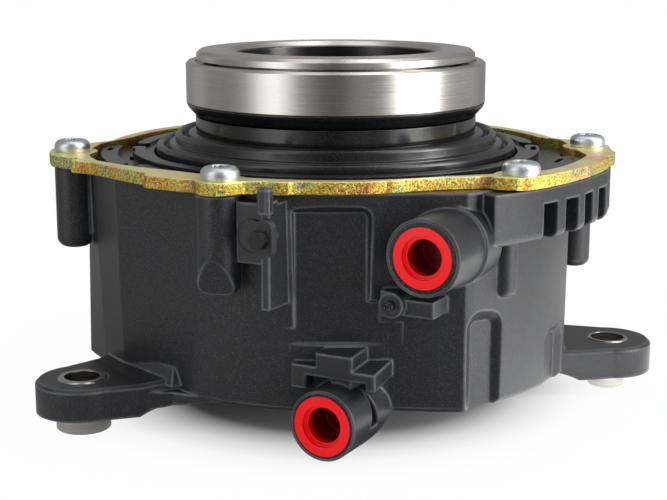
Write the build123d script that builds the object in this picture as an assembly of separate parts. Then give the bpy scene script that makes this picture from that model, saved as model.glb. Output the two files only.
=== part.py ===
from build123d import *
from math import cos, radians, sin
import os

os.makedirs("parts", exist_ok=True)

# Frame: the actuator's axis is Z, the feet stand on z = 0, the air ports look along -Y. Millimetres.

# Clearances
fit_gap = 0.1
seal_gap = 0.05
thread_gap = 0.02
slide_gap = 0.5

# Drum: its bore sets where the walls, the plate, the screws and the feet lie
cyl_r = 86.0
drum_bottom = 16.0
drum_top = 101.5
floor_thick = 8.0
edge_chamfer = 1.8
cover_depth = 4.0
cover_seat = drum_top - cover_depth
floor_top = drum_bottom + floor_thick

# Feet and their steel bushes
foot_reach = 34.5
foot_r = cyl_r + foot_reach
foot_angles = (-120.0, 26.1, 134.0)
sleeve_top = 21.4
bush_radii = (10.0, 8.9, 9.4)
bush_low_radii = (11.0, 8.3, 10.2)
bush_bore_r = 7.25
bush_chamfer = 0.5
foot_low = 7.8
foot_high = 20.9
foot_edge = 1.4
eye_r = 18.8
arm_root_half = 27.0
arm_root_r = cyl_r + 2.0
arm_rises = (2.5, 0.6, 2.5)
arm_knee = 16.0
step_reach = (11.8, 14.0, 15.0)
step_turn = (6.7, 0.0, 0.0)
step_shift = -2.0
step_half = 19.8
step_rise = 3.0
step_taper = 25.0
arch_top = 13.5
arch_size = 44.6
web_wall = ((20.5, 12.0), (12.2, 17.0), (10.4, 21.6), (7.6, 28.0))
web_y = 28.5
web_z = 12.0
web_tilt = 14.6

# Retaining plate and its screws
plate_thick = 5.0
plate_top = drum_top + plate_thick
plate_corner = 1.6
screw_reach = (26.4, 17.2, 22.0, 22.4, 24.0, 24.0)
screw_angles = (-141.8, -86.6, -21.5, 25.5, 88.0, 148.0)
screw_spots = [(cyl_r + reach, a) for reach, a in zip(screw_reach, screw_angles)]
screw_head_r = 7.35
screw_head_h = 4.9
screw_shank_r = 3.5
screw_depth = 18.0
socket_r = 2.35
socket_lobe_r = 0.85
socket_depth = 2.6
lobe_r = 10.5

# Guide sleeve
tube_r = 38.7
tube_wall = 2.5
tube_bore_r = tube_r - tube_wall
tube_top = 121.0
tube_lead = 1.5
tube_flange_r = tube_r + 15.3
tube_flange_h = 4.0
small_r = 2.0
small_sink = 2.0
small_ring_r = tube_r + 8.3

# Piston
piston_low = 50.0
piston_land_h = 20.0
piston_land_top = piston_low + piston_land_h
piston_r = cyl_r - slide_gap
piston_bore_r = tube_r + slide_gap
hub_wall = 6.8
hub_r = piston_bore_r + hub_wall
hub_drop = 8.0
hub_rise = 30.0
hub_top = piston_land_top + hub_rise

# Bearing carrier
carrier_gap = 6.0
carrier_in_r = hub_r + carrier_gap
carrier_wall = 5.0
carrier_out_r = carrier_in_r + carrier_wall
carrier_collar_r = carrier_out_r + 3.2
carrier_foot_r = carrier_out_r + 4.0
neck_r = carrier_in_r + 3.2
collar_low = 113.6
collar_h = 6.4
collar_high = collar_low + collar_h

# Release bearing: heights are counted up from the carrier's collar
shell_h = 6.0
bearing_low = collar_high + shell_h
bearing_h = 17.2
bearing_high = bearing_low + bearing_h
bearing_wall = 8.8
bearing_r = neck_r + bearing_wall
flange_gap = 0.7
flange_h = 4.1
top_flange_low = bearing_high + flange_gap
total_high = top_flange_low + flange_h
ball_r = 4.2
ball_count = 26
race_gap = 0.1
ball_ring_r = bearing_r - 9.7
ball_z = bearing_low + 9.6
inner_ring_out_r = ball_ring_r - 3.7
inner_ring_wall = 7.2
inner_ring_r = inner_ring_out_r - inner_ring_wall
top_flange_r = bearing_r - 4.5
neck_top = bearing_low + 4.0
clip_low = bearing_low + 2.3
clip_h = 1.1
clip_groove = 1.0


def polar(r, deg, z=0.0):
    return (r * cos(radians(deg)), r * sin(radians(deg)), z)


def disc(r, low, high, x=0.0, y=0.0):
    return Pos(x, y, low) * Cylinder(r, high - low, align=(Align.CENTER, Align.CENTER, Align.MIN))


def ring(r_in, r_out, low, high):
    return disc(r_out, low, high) - disc(r_in, low - 1, high + 1)


def lathe(points):
    return revolve(Plane.XZ * make_face(Polyline(*points, close=True)), Axis.Z)


def outline(sectors, z):
    """Closed face from arcs (start, end in degrees, distance outside the bore), joined by straight lines."""
    edges = []
    for i, (a0, a1, wall) in enumerate(sectors):
        r = cyl_r + wall
        if a1 > a0:
            edges.append(ThreePointArc(polar(r, a0, z), polar(r, (a0 + a1) / 2, z), polar(r, a1, z)))
        b0, b1, next_wall = sectors[(i + 1) % len(sectors)]
        edges.append(Line(polar(r, a1, z), polar(cyl_r + next_wall, b0, z)))
    return make_face(edges)


def prism(sectors, low, high):
    return extrude(outline(sectors, low), amount=high - low, dir=(0, 0, 1))


def sector(r_in, r_out, a0, a1, low, high):
    """Part of a ring between two angles."""
    mid = (a0 + a1) / 2
    edges = [
        ThreePointArc(polar(r_out, a0, low), polar(r_out, mid, low), polar(r_out, a1, low)),
        Line(polar(r_out, a1, low), polar(r_in, a1, low)),
        ThreePointArc(polar(r_in, a1, low), polar(r_in, mid, low), polar(r_in, a0, low)),
        Line(polar(r_in, a0, low), polar(r_out, a0, low)),
    ]
    return extrude(make_face(edges), amount=high - low, dir=(0, 0, 1))


def band(r, width, a0, a1, low, high):
    """Raised band along an arc, with round ends."""
    face = SlotArc(CenterArc((0, 0), r, a0, a1 - a0), width)
    return Pos(0, 0, low) * extrude(face, amount=high - low)


def along_y(r, x, z, y0, y1):
    """Round bar along Y from y0 to y1."""
    lower = min(y0, y1)
    bar = Cylinder(r, abs(y1 - y0), align=(Align.CENTER, Align.CENTER, Align.MIN))
    return Pos(x, lower, z) * Rot(-90, 0, 0) * bar


def block(x0, x1, y0, y1, z0, z1):
    return Pos(x0, y0, z0) * Box(x1 - x0, y1 - y0, z1 - z0, align=(Align.MIN, Align.MIN, Align.MIN))


# Housing: the drum's outline at the bottom and at the top, as wall thickness outside the bore
drum_low = [
    (-155, -145, 21.8),
    (-135, -135, 16.2),
    (-124.7, -124.7, 12.6),
    (-99, -50, 9.2),
    (-40, -40, 16.6),
    (-35, -33, 21.0),
    (-22, 3, 18.2),
    (17, 200, 10.4),
]
drum_high = [
    (-155, -145, 20.2),
    (-132, -132, 20.0),
    (-118, -118, 19.6),
    (-91, -50, 12.4),
    (-40, -40, 18.2),
    (-35, -33, 21.6),
    (-22, 3, 19.0),
    (17, 200, 13.4),
]
edge_z = drum_bottom + edge_chamfer
drum_edge = [(a0, a1, wall - edge_chamfer) for a0, a1, wall in drum_low]
body = loft([outline(drum_low, edge_z), outline(drum_high, drum_top)], ruled=True)
body += loft([outline(drum_edge, drum_bottom), outline(drum_low, edge_z)], ruled=True)

# Outlines of the retaining plate and of its opening
plate_outer = [
    (-149, -131, 35.8),
    (-124, -107, 24.2),
    (-101, -89, 28.4),
    (-80, -79, 19.5),
    (-70, -38, 13.3),
    (-28, -28, 21.5),
    (-22, -5, 29.3),
    (5, 8, 32.0),
    (15, 30, 34.0),
    (40, 76, 13.8),
    (82, 94, 33.5),
    (100, 136, 13.8),
    (142, 154, 33.5),
    (160, 200, 13.8),
    (207, 208, 27.0),
]
plate_inner = [
    (-155, -128, 16.5),
    (-118, -112, 12.5),
    (-100, -36, 9.4),
    (-26, -20, 14.0),
    (-14, 12, 22.0),
    (24, 38, 15.0),
    (44, 72, 8.8),
    (80, 96, 15.0),
    (104, 132, 8.8),
    (140, 156, 15.0),
    (164, 192, 8.8),
]


def grown(sectors, by):
    return [(a0, a1, wall + by) for a0, a1, wall in sectors]


# Comb of hanging ribs on the right, and short flanges where the cover's seat is wide
skin = 0.5
comb_h = 21.0
comb_low = drum_top - comb_h
comb_round = 3.6
comb_start = -31
comb_end = 23
wall_in = cyl_r + 8.0
wall_out = cyl_r + 44.0
slot_depth = 12.5
slot_top = drum_top - 6.5
slot_half = 2.3
slot_first = -15.8
slot_pitch = 7.4
slot_count = 5
comb_outline = [(comb_start, -14, 28.2), (-6, 0, 29.4), (8, 24, 31.6), (60, 300, 31.6)]
comb = prism(comb_outline, comb_low, drum_top - skin)
comb = fillet(comb.faces().sort_by(Axis.Z)[0].edges(), comb_round)
comb &= sector(wall_in, wall_out, comb_start, comb_end, comb_low - 1, drum_top)
for i in range(slot_count):
    a = slot_first + i * slot_pitch
    comb -= sector(cyl_r + slot_depth, wall_out, a - slot_half, a + slot_half, comb_low - 1, slot_top)
body += comb
for a0, a1 in ((22.0, 41.0), (76.0, 100.0), (136.0, 160.0)):
    body += sector(wall_in, cyl_r + 19.0, a0, a1, slot_top, drum_top)

# Screw bosses with rounded lower ends: radius, length, shift from the screw's radius, angle
boss_list = (
    (7.7, 35.5, 0.0, -141.8),
    (8.4, 38.5, 0.2, -87.2),
    (5.9, 42.7, -5.2, -23.3),
    (6.6, 47.0, -4.2, 25.0),
    (7.7, 35.5, 0.0, 88.0),
    (7.7, 35.5, 0.0, 148.0),
)
boss_round = 0.55
web_reach = 12.0
web_long = 14.0
web_rise = 6.0
faceted = 1
facet_angle = -75.0
facet_lean = 22.0
facet_h = 14.0
boss_spots = []
for i, (boss_r, boss_h, shift, a) in enumerate(boss_list):
    at_r = cyl_r + screw_reach[i] + shift
    boss_low = drum_top - boss_h
    x, y, _ = polar(at_r, a)
    boss_spots.append((x, y, boss_r))
    boss = disc(boss_r, boss_low, drum_top - skin, x, y)
    boss = fillet(boss.faces().sort_by(Axis.Z)[0].edges(), boss_r * boss_round)
    if i == faceted:
        half_space = Box(4 * boss_r, 8 * boss_r, 8 * boss_r, align=(Align.MIN, Align.CENTER, Align.CENTER))
        facet = Rot(0, facet_lean, 0) * Pos(boss_r * cos(radians(facet_lean)), 0, 0) * half_space
        boss -= Pos(x, y, boss_low + facet_h) * Rot(0, 0, facet_angle) * facet
    x1, y1, _ = polar(at_r - web_reach, a)
    rib = Box(web_long, boss_r * 1.3, boss_h - web_rise - 1, align=(Align.CENTER, Align.CENTER, Align.MIN))
    body += boss + Pos(x1, y1, boss_low + web_rise) * Rot(0, 0, a) * rib

# Feet: an eye and an arm that widens and rises towards the drum, with a raised bar on top at the
# wall, an arch below, and a web on one side that runs out along the drum's lower edge
arch = Pos(arm_root_r - 4.0, 0, arch_top - arch_size) * Rot(90, 0, 0) * Cylinder(arch_size, 4 * eye_r)
web_pts = [polar(cyl_r + wall, a)[:2] for wall, a in web_wall]
web_pts += [polar(arm_root_r, web_wall[-1][1])[:2], polar(arm_root_r, web_wall[0][1])[:2]]
web = Pos(0, 0, foot_low) * extrude(make_face(Polyline(*web_pts, close=True)), amount=edge_z - foot_low)
under_web = Box(3 * cyl_r, 3 * cyl_r, cyl_r, align=(Align.CENTER, Align.CENTER, Align.MAX))
web -= Pos(cyl_r, web_y, web_z) * Rot(web_tilt, 0, 0) * under_web
for a, reach, turn, rise in zip(foot_angles, step_reach, step_turn, arm_rises):
    arm_pts = [
        (arm_root_r, -arm_root_half),
        (foot_r, -eye_r),
        (foot_r, eye_r),
        (arm_root_r, arm_root_half),
    ]
    plan = make_face(Polyline(*arm_pts, close=True)) + Pos(foot_r, 0) * Circle(eye_r)
    foot = Pos(0, 0, foot_low) * extrude(plan, amount=foot_high + rise - foot_low)
    above = [
        (foot_r + 2 * eye_r, foot_high),
        (foot_r - arm_knee, foot_high),
        (arm_root_r - 1, foot_high + rise),
        (arm_root_r - 1, drum_top),
        (foot_r + 2 * eye_r, drum_top),
    ]
    foot -= extrude(Plane.XZ * make_face(Polyline(*above, close=True)), amount=2 * eye_r, both=True)
    top_edges = foot.edges().filter_by(lambda e: e.center().Z > foot_high - 0.1)
    top_edges = top_edges.filter_by(lambda e: e.center().X > arm_root_r + 0.1)
    top_edges = top_edges.filter_by(lambda e: abs(e.center().Y) > 1.0 or e.center().X > foot_r)
    foot = chamfer(top_edges, foot_edge)
    bar_in = arm_root_r + 1.0
    bar_out = cyl_r + reach
    step_face = Pos((bar_in + bar_out) / 2, step_shift) * Rectangle(bar_out - bar_in, 2 * step_half)
    step = extrude(step_face, amount=1.0 + rise + step_rise, taper=step_taper)
    body += Rot(0, 0, a) * (foot + web - arch) + Pos(0, 0, foot_high - 1.0) * Rot(0, 0, a + turn) * step

# Upper air port
port_x = cyl_r - 4.0
port_z = 81.3
port_face = -cyl_r - 2.0
port_r = 14.6
port_seat = port_face + 26.0
port_root = port_face + 40.0
port_lip = 1.0
plug_flange_r = 11.5
plug_flange_t = 2.4
plug_bore_r = 6.85
plug_body_r = 9.0
plug_step_r = 8.2
plug_step_t = 1.4
plug_body_l = 17.0
plug_floor = 1.5
plug_proud = 0.6
port_bore_l = 26.0
low_bore_l = 19.0
collar_r = port_r - 1.2
collar_depth = 3.0
body += along_y(port_r, port_x, port_z, port_face, port_root)
body += along_y(port_r + port_lip, port_x, port_z, port_seat - 2 * port_lip, port_root - 2 * port_lip)

# Lower air port: a tube along the drum's lower edge, with a tail that is cut away under the drum
low_x = 49.0
low_z = 17.2
low_face = -cyl_r - 17.0
low_r = 13.5
low_collar_r = low_r - 0.9
tail_end = low_face + 35.0
tail_start = low_face + 15.0
tail_angle = 38
tube_bar = along_y(low_r, low_x, low_z, low_face, tail_end)
tail_cut = Pos(low_x, tail_start, low_z - low_r) * Rot(tail_angle, 0, 0) * Box(
    4 * low_r, 4 * low_r, 2 * low_r, align=(Align.CENTER, Align.MIN, Align.MAX)
)
body += tube_bar - tail_cut
notch_y = low_face + 16.5
notch_half = 3.0
notch_l = 14.0
notch_face = Plane.XY * make_face(Polyline((0, -notch_half), (notch_l, 0), (0, notch_half), close=True))
notch = extrude(notch_face, amount=low_r)

# T bracket over the lower port, with two legs and a neck down to the tube; drafted in plan
t_face = -cyl_r - 9.0
t_back = -cyl_r + 14.0
t_round = 0.9
t_left = low_x - 18.0
t_right = low_x + 17.5
t_low = low_z + low_r + 2.7
t_high = t_low + 3.6


def drafted(x0, x1, slope, z0, z1):
    """Bar from the front face back to the wall; its right side leans inwards."""
    plan = Polyline((x0, t_face), (x1, t_face), (x1 - slope, t_back), (x0, t_back), close=True)
    piece = Pos(0, 0, z0) * extrude(make_face(plan), amount=z1 - z0)
    return fillet(piece.edges().filter_by(Axis.Z).sort_by(Axis.Y)[:2], t_round)


body += drafted(t_left, t_right, 3.6, t_low, t_high)
body += drafted(low_x - 7.5, low_x + 8.0, 2.4, t_low + 1.0, t_high + 5.4)
body += drafted(t_left, t_left + 6.5, 0.0, t_low - 5.4, t_low + 1.0)
body += drafted(t_right - 4.0, t_right, 3.6, t_low - 2.8, t_low + 1.0)
body += block(low_x - 2.4, low_x + 6.0, t_face + 3, t_back, low_z + low_r - 6.7, t_low + 1.0)

# Rail beside the second screw: a panel, a standing bar and a latch tooth in front of the plate
panel_face = -cyl_r - 19.0
bar_proud = 1.6
bar_face = panel_face - bar_proud
rail_back = -cyl_r - 2.0
bar_x = 25.6
bar_w = 3.4
bar_low = 59.6
panel_x = 14.2
panel_low = 76.3
rail_high = drum_top - 2.5
tooth_w = 5.2
tooth_face = -cyl_r - 23.2
tooth_t = 4.8
tooth_low = drum_top - 5.5
tooth_high = plate_top - 0.9
tooth_edge = 1.1
tooth_rim = 0.7
body += block(panel_x, bar_x + 0.9, panel_face, rail_back, panel_low, rail_high)
body += block(bar_x, bar_x + bar_w, bar_face, rail_back, bar_low, rail_high)
tooth = block(bar_x - 0.6, bar_x - 0.6 + tooth_w, tooth_face, tooth_face + tooth_t, tooth_low, tooth_high)
tooth = chamfer(tooth.edges().filter_by(Axis.Z), tooth_edge)
tooth = chamfer(tooth.faces().sort_by(Axis.Z)[-1].edges(), tooth_rim)
body += tooth + block(bar_x, bar_x + bar_w, bar_face, bar_face + 6.6, tooth_low - 2, rail_high + 1)

# Pad for the duct plug: a round pad, a square behind it and a block on its right
pad_x = port_x - 16.0
pad_z = port_z - 20.9
pad_face = -cyl_r + 5.0
pad_r = 4.9
pad_back = pad_face + 19.0
pad_step = 1.5
body += along_y(pad_r, pad_x, pad_z, pad_face, pad_back)
body += block(pad_x - pad_r, pad_x + 1.0, pad_face + pad_step, pad_back, pad_z - pad_r, pad_z + pad_r)
body += block(pad_x + 2.0, port_x, pad_face + 2 * pad_step, pad_back + 10.0, pad_z - 4.2, pad_z + 2.1)


def sunk(base_r, x0, x1, z0, z1, slope, corner):
    """Cutter for a flat recess with sloping sides, made at angle 0."""
    origin = (base_r, (x0 + x1) / 2, (z0 + z1) / 2)
    wall = Plane(origin=origin, x_dir=(0, 1, 0), z_dir=(1, 0, 0))
    return extrude(wall * RectangleRounded(x1 - x0, z1 - z0, corner), amount=10.0, taper=-slope)


# Flat pocket on the front wall: a tall part above a wide part
pocket_angle = -62.0
pocket_r = cyl_r + 8.4
pocket_slope = 38.0
pocket_round = 2.0
pocket = sunk(pocket_r, -16.6, 11.6, 52.0, cover_seat - 3.5, pocket_slope, pocket_round)
pocket += sunk(pocket_r, -26.4, 25.2, 39.8, 59.6, pocket_slope, pocket_round)
pocket = Rot(0, 0, pocket_angle) * pocket
clear = 3.0
far = 2 * cyl_r
keep_out = block(panel_x - 0.2, bar_x + bar_w + 1.6, -far, -cyl_r + 6, bar_low - 10, drum_top + 9)
keep_out += block(pad_x - 7.0, port_x + 8.0, -far, pad_back + 12, pad_z - 8.4, pad_z + 6.1)
keep_out += along_y(port_r + clear, port_x, port_z, -far, port_root)
boss_x, boss_y, boss_r = boss_spots[faceted]
keep_out += disc(boss_r + 1.1, bar_low - 10, drum_top + 9, boss_x, boss_y)
keep_out += block(t_left - 2.0, t_right + 2.0, -far, t_back + 12, low_z, t_high + 6.5)
body -= pocket - keep_out

# Shallow recesses in the right wall
right_round = 2.6
right_slope = 48.0
body -= Rot(0, 0, -28.5) * sunk(cyl_r + 15.2, -5.4, 4.6, 2.0, 50.0, right_slope, right_round)
body -= Rot(0, 0, -3.5) * sunk(cyl_r + 15.2, -6.2, 6.2, 2.0, 36.5, right_slope, right_round)

# Cylinder bore, seat of the cover with its seal groove, and middle hole
cover_play = 1.6
seal_in_r = cyl_r + 2.2
seal_out_r = seal_in_r + 2.4
seal_h = 1.6
seal_low = cover_seat - seal_h
body -= disc(cyl_r, floor_top, drum_top + 1)
body -= prism(grown(plate_inner, cover_play), cover_seat, drum_top + 1)
body -= ring(seal_in_r, seal_out_r, seal_low, cover_seat + fit_gap)
body -= disc(tube_r + fit_gap, drum_bottom - 1, floor_top + 1)

# Bores of the ports, and the ducts from them down to the space under the piston
duct_r = 3.0
duct_angle = -37.5
duct_low = floor_top + 7.0
body -= along_y(collar_r, port_x, port_z, port_face - 1, port_face + collar_depth)
body -= along_y(plug_body_r + fit_gap, port_x, port_z, port_face - 1, port_face + port_bore_l)
duct_x, duct_y, _ = polar(cyl_r + 10.5, duct_angle)
body -= disc(duct_r, duct_low, port_z, duct_x, duct_y)
body -= along_y(duct_r, duct_x, port_z - 4.0, port_face + port_bore_l - 4.0, duct_y)
body -= Pos(0, 0, duct_low + 1.0) * Rot(0, 90, duct_angle) * Pos(0, 0, cyl_r - 3) * Cylinder(
    duct_r, 14.0, align=(Align.CENTER, Align.CENTER, Align.MIN)
)
low_duct_y = low_face + 37.0
body -= along_y(low_collar_r, low_x, low_z, low_face - 1, low_face + collar_depth)
body -= along_y(plug_body_r + fit_gap, low_x, low_z, low_face - 1, low_face + low_bore_l)
body -= along_y(duct_r, low_x, low_z + 2.0, low_face + low_bore_l - 1, low_duct_y)
body -= disc(duct_r, low_z + 2.0, floor_top + 1, low_x, low_duct_y)
body -= Pos(low_x + 7.0, notch_y, low_z - 2.5) * Rot(0, 90, 0) * Rot(0, 0, 180) * notch

# Holes for the plate screws, the foot bushes and the small screws
hole_extra = 1.0
for at_r, a in screw_spots:
    x, y, _ = polar(at_r, a)
    body -= disc(screw_shank_r + thread_gap, drum_top - screw_depth - hole_extra, drum_top + 1, x, y)
for a, bush_r in zip(foot_angles, bush_radii):
    x, y, _ = polar(foot_r, a)
    body -= disc(bush_r, foot_low - 1, foot_high + 2, x, y)
small_spots = [polar(small_ring_r, 15 + 60 * i)[:2] for i in range(6)]
for x, y in small_spots:
    body -= disc(small_r + thread_gap, drum_bottom - 1, floor_top + 1, x, y)

# Seats of the sensor probe and of the duct plug
sensor_x = bar_x + 1.7
sensor_z = 87.0
probe_x = sensor_x - 5.9
probe_r = 3.0
probe_l = 14.0
gasket_r = 6.2
sensor_pin_r = 1.2
sensor_pin_l = 6.0
body -= along_y(gasket_r + 2 * fit_gap, probe_x, sensor_z, bar_face - 3, panel_face)
body -= along_y(probe_r + fit_gap, probe_x, sensor_z, bar_face - 3, bar_face + probe_l + 1.1)
body -= along_y(sensor_pin_r + thread_gap, sensor_x, sensor_z, bar_face - 3, bar_face + sensor_pin_l + 0.6)
plug_pin_r = 2.1
plug_pin_l = 8.8
plug_pin_proud = 3.4
body -= along_y(plug_pin_r + thread_gap, pad_x, pad_z, pad_face - 1, pad_face + plug_pin_l + 0.2)
export_step(body, "parts/housing.step")

# Foot bushes, each with a collar under its foot
collar_chamfer = 0.6
bushes = []
for a, bush_r, collar_low_r in zip(foot_angles, bush_radii, bush_low_radii):
    x, y, _ = polar(foot_r, a)
    tube = disc(bush_r, foot_low - 1, sleeve_top, x, y)
    tube = chamfer(tube.edges().sort_by(Axis.Z)[-1], bush_chamfer)
    tube += chamfer(disc(collar_low_r, 0, foot_low, x, y).edges(), collar_chamfer)
    bushes.append(tube - disc(bush_bore_r, -1, sleeve_top + 1, x, y))
export_step(Compound(children=bushes), "parts/mounting_sleeves.step")

# Retaining plate with rounded corners, round notches for the cover and holes for the screws
plate_hole_gap = 0.4
plate_face = outline(plate_outer, drum_top)
plate_face = fillet(plate_face.vertices(), plate_corner)
plate = extrude(plate_face, amount=plate_thick, dir=(0, 0, 1))
opening = prism(plate_inner, drum_top - 1, plate_top + 1)
for at_r, a in screw_spots:
    x, y, _ = polar(at_r, a)
    opening -= disc(lobe_r, drum_top - 2, plate_top + 2, x, y)
plate -= opening
for at_r, a in screw_spots:
    x, y, _ = polar(at_r, a)
    plate -= disc(screw_shank_r + plate_hole_gap, drum_top - 1, plate_top + 1, x, y)
export_step(plate, "parts/retaining_plate.step")

# Plate screws: pan head with a six-lobed socket
flank_r = screw_head_r - 0.4
crown_r = screw_head_r - 4.6
shoulder = (screw_head_r - 1.4, screw_head_h * 0.86)
head_edges = [
    Line((0, 0), (flank_r, 0)),
    ThreePointArc((flank_r, 0), (screw_head_r, screw_head_h * 0.45), shoulder),
    ThreePointArc(shoulder, (screw_head_r - 3.0, screw_head_h * 0.985), (crown_r, screw_head_h)),
    Line((crown_r, screw_head_h), (0, screw_head_h)),
    Line((0, screw_head_h), (0, 0)),
]
head = revolve(Plane.XZ * make_face(head_edges), Axis.Z)
socket_low = screw_head_h - socket_depth
head -= disc(socket_r, socket_low, screw_head_h + 1)
for i in range(6):
    head -= disc(socket_lobe_r, socket_low, screw_head_h + 1, *polar(socket_r, 60 * i)[:2])
screw = head + disc(screw_shank_r, -plate_thick - screw_depth, 0.2)
screws = [Pos(*polar(at_r, a, plate_top)) * screw for at_r, a in screw_spots]
export_step(Compound(children=screws), "parts/plate_screws.step")

# Cover ring with raised bands, slots at their ends and a groove for the boot's bead
cover_in_r = cyl_r - 7.6
cover_lip = 3.4
cover_deck = drum_top + 0.9
band_low = drum_top - 0.5
band_high = cover_deck + 2.4
main_band_high = cover_deck + 3.8
cover_fit = 0.4
bead_h = 2.2
bead_low = cover_seat + 1.6
groove_low = bead_low - 0.2
groove_high = bead_low + bead_h + 0.2
bead_r = cover_in_r + 2.0
cover = prism(grown(plate_inner, cover_play - cover_fit), cover_seat, drum_top)
cover += prism(grown(plate_inner, -1.0), drum_top - 1, cover_deck)
cover -= disc(cover_in_r + cover_lip - 1, cover_seat - 1, cover_deck + 1)
for at_r, a in screw_spots:
    x, y, _ = polar(at_r, a)
    cover -= disc(lobe_r + 1.0, cover_seat - 1, cover_deck + 1, x, y)
cover += ring(cover_in_r, cover_in_r + cover_lip, cover_seat, cover_deck + 2.6)
for a0, a1 in ((-148.0, 27.0), (36.0, 202.0)):
    cover += band(cyl_r - 1.4, 5.6, a0, a1, band_low, main_band_high)
long_bands = ((5.2, 5.0, -120.0, -34.0), (11.2, 7.0, -156.0, -127.0), (14.4, 10.0, -13.0, 11.0))
back_bands = tuple((5.2, 5.0, a0, a1) for a0, a1 in ((48.0, 74.0), (106.0, 131.0), (166.0, 188.0)))
for off, w, a0, a1 in long_bands + back_bands:
    cover += band(cyl_r + off, w, a0, a1, band_low, band_high)
slot_w = 2.4
for off, a0, a1 in ((1.4, -146.0, -140.0), (-1.0, 19.0, 25.0), (11.6, -153.0, -149.0), (12.0, 4.0, 10.0)):
    cover -= band(cyl_r + off, slot_w, a0, a1, cover_seat - 1, main_band_high + 2)
for at_r, a in screw_spots:
    x, y, _ = polar(at_r, a)
    cover -= disc(lobe_r + cover_fit, band_low, plate_top + 2, x, y)
cover -= ring(cover_in_r - 1, bead_r + 0.2, groove_low, groove_high)
export_step(cover, "parts/cover_ring.step")
export_step(ring(seal_in_r, seal_out_r, seal_low, cover_seat), "parts/cover_seal.step")

# Guide sleeve with its flange, its seal and countersunk screws
tube_low = drum_bottom + 0.6
flange_top = floor_top + tube_flange_h
guide = lathe(
    [
        (tube_bore_r, tube_low),
        (tube_r, tube_low),
        (tube_r, floor_top),
        (tube_flange_r, floor_top),
        (tube_flange_r, flange_top),
        (tube_r, flange_top),
        (tube_r, tube_top - tube_lead),
        (tube_r - 1.0, tube_top),
        (tube_bore_r, tube_top),
    ]
)
sink_low = flange_top - small_sink
upright = (Align.CENTER, Align.CENTER, Align.MIN)
sink_hole = Cone(small_r + fit_gap, small_r + small_sink + fit_gap, small_sink, align=upright)
for x, y in small_spots:
    guide -= disc(small_r + 3 * fit_gap, floor_top - 1, flange_top + 1, x, y)
    guide -= Pos(x, y, sink_low) * sink_hole
ring_seal_h = 1.2
ring_seal_in = tube_r + 1.9
ring_seal_out = ring_seal_in + 2.0
guide -= ring(ring_seal_in, ring_seal_out, floor_top - 1, floor_top + ring_seal_h)
export_step(guide, "parts/guide_sleeve.step")
export_step(ring(ring_seal_in, ring_seal_out, floor_top, floor_top + ring_seal_h), "parts/sleeve_seal.step")
small_screw = Pos(0, 0, sink_low) * Cone(small_r, small_r + small_sink, small_sink, align=upright)
small_screw += disc(small_r, drum_bottom + 0.8, sink_low + fit_gap)
small_screw -= Pos(0, 0, flange_top - 1.4) * extrude(RegularPolygon(1.3, 6), amount=3)
small_screws = [Pos(x, y, 0) * small_screw for x, y in small_spots]
export_step(Compound(children=small_screws), "parts/sleeve_screws.step")

# Ring piston with grooves for seals, wear ring and bushes, and a pocket for the spring
spring_mean_r = (hub_r + cyl_r) / 2 - 6.0
spring_wire = 4.2
spring_turns = 3.0
spring_room = 5.0
seat_t = 1.5
seat_half = 4.6
pocket_top = piston_land_top - 8.0
dish = 3.0
piston = lathe(
    [
        (piston_bore_r, piston_low - hub_drop),
        (hub_r, piston_low - hub_drop),
        (hub_r, piston_low),
        (piston_r, piston_low),
        (piston_r, piston_land_top),
        (piston_r - 5.5, piston_land_top),
        (piston_r - 9.5, piston_land_top - dish),
        (carrier_foot_r + 1.0, piston_land_top - dish),
        (carrier_foot_r + 1.0, piston_land_top),
        (hub_r, piston_land_top),
        (hub_r, hub_top),
        (piston_bore_r, hub_top),
    ]
)
piston -= ring(spring_mean_r - spring_room, spring_mean_r + spring_room, piston_low - 1, pocket_top)
out_seal = (piston_low + 3.0, piston_low + 8.5)
wear = (piston_low + 12.0, piston_low + 16.5)
in_seal = (piston_low + 2.0, piston_low + 7.0)
bush_spans = ((piston_low - 6.5, piston_low - 0.5), (hub_top - 10.0, hub_top - 3.0))
out_groove_r = piston_r - 4.5
wear_groove_r = piston_r - 2.3
in_groove_r = piston_bore_r + 3.4
bush_groove_r = piston_bore_r + 1.8
piston -= ring(out_groove_r, piston_r + 1, *out_seal)
piston -= ring(wear_groove_r, piston_r + 1, *wear)
piston -= ring(piston_bore_r - 1, in_groove_r, *in_seal)
for span in bush_spans:
    piston -= ring(piston_bore_r - 1, bush_groove_r, *span)
magnet_r = 2.5
magnet_h = 3.0
magnet_spot = polar(piston_r - 3.2, -78.0)[:2]
piston -= disc(magnet_r + thread_gap, piston_land_top - magnet_h, piston_land_top + 1, *magnet_spot)
export_step(piston, "parts/ring_piston.step")


def lip_seal(back_r, lip_r, span):
    """Grooved ring whose lip reaches the wall; the step behind the lip is 1.5 mm short of it."""
    side = 1.0 if lip_r > back_r else -1.0
    low, high = span
    step_r = lip_r - side * 1.5
    lip = [(lip_r, low), (lip_r, low + 1.6), (step_r, low + 2.6), (step_r, high)]
    return lathe([(back_r, low)] + lip + [(back_r, high)])


export_step(lip_seal(out_groove_r, cyl_r - seal_gap, out_seal), "parts/piston_outer_seal.step")
export_step(lip_seal(in_groove_r, tube_r + seal_gap, in_seal), "parts/piston_inner_seal.step")
export_step(ring(wear_groove_r, cyl_r - seal_gap, *wear), "parts/piston_wear_ring.step")
bush_rings = [ring(tube_r + seal_gap, bush_groove_r, *span) for span in bush_spans]
export_step(Compound(children=bush_rings), "parts/guide_bushes.step")
magnet = disc(magnet_r, piston_land_top - magnet_h, piston_land_top, *magnet_spot)
export_step(magnet, "parts/position_magnet.step")

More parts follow.
